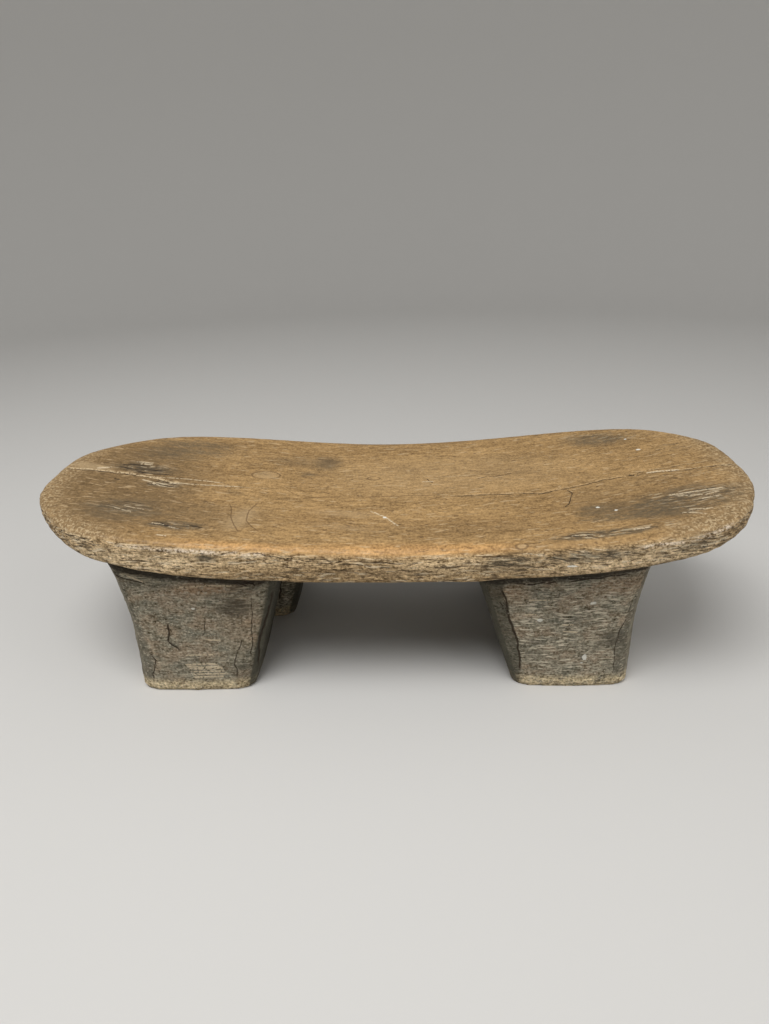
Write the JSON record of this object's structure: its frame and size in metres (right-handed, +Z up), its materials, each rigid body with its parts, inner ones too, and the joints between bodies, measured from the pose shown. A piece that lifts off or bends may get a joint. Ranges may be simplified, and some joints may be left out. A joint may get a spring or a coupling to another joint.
{
  "type": "carved wooden stool",
  "caption": "Low oblong stool carved from one block of wood: a gently saddle-shaped seat with rounded ends, on stout square legs that flare up into it.",
  "frame": {"origin": "on the ground at the middle of the stool's footprint", "axes": "+X along the seat towards the end that overhangs its legs further, +Y towards the higher rim, +Z up"},
  "size_m": [0.449, 0.1778, 0.1247],
  "materials": {
    "aged_wood": "hand-carved hardwood, rubbed smooth and tan on the seat, rough and grey-brown on the rim's side and the legs"
  },
  "bodies": {
    "root": {"carved_stool": "aged_wood"}
  },
  "joints": []
}
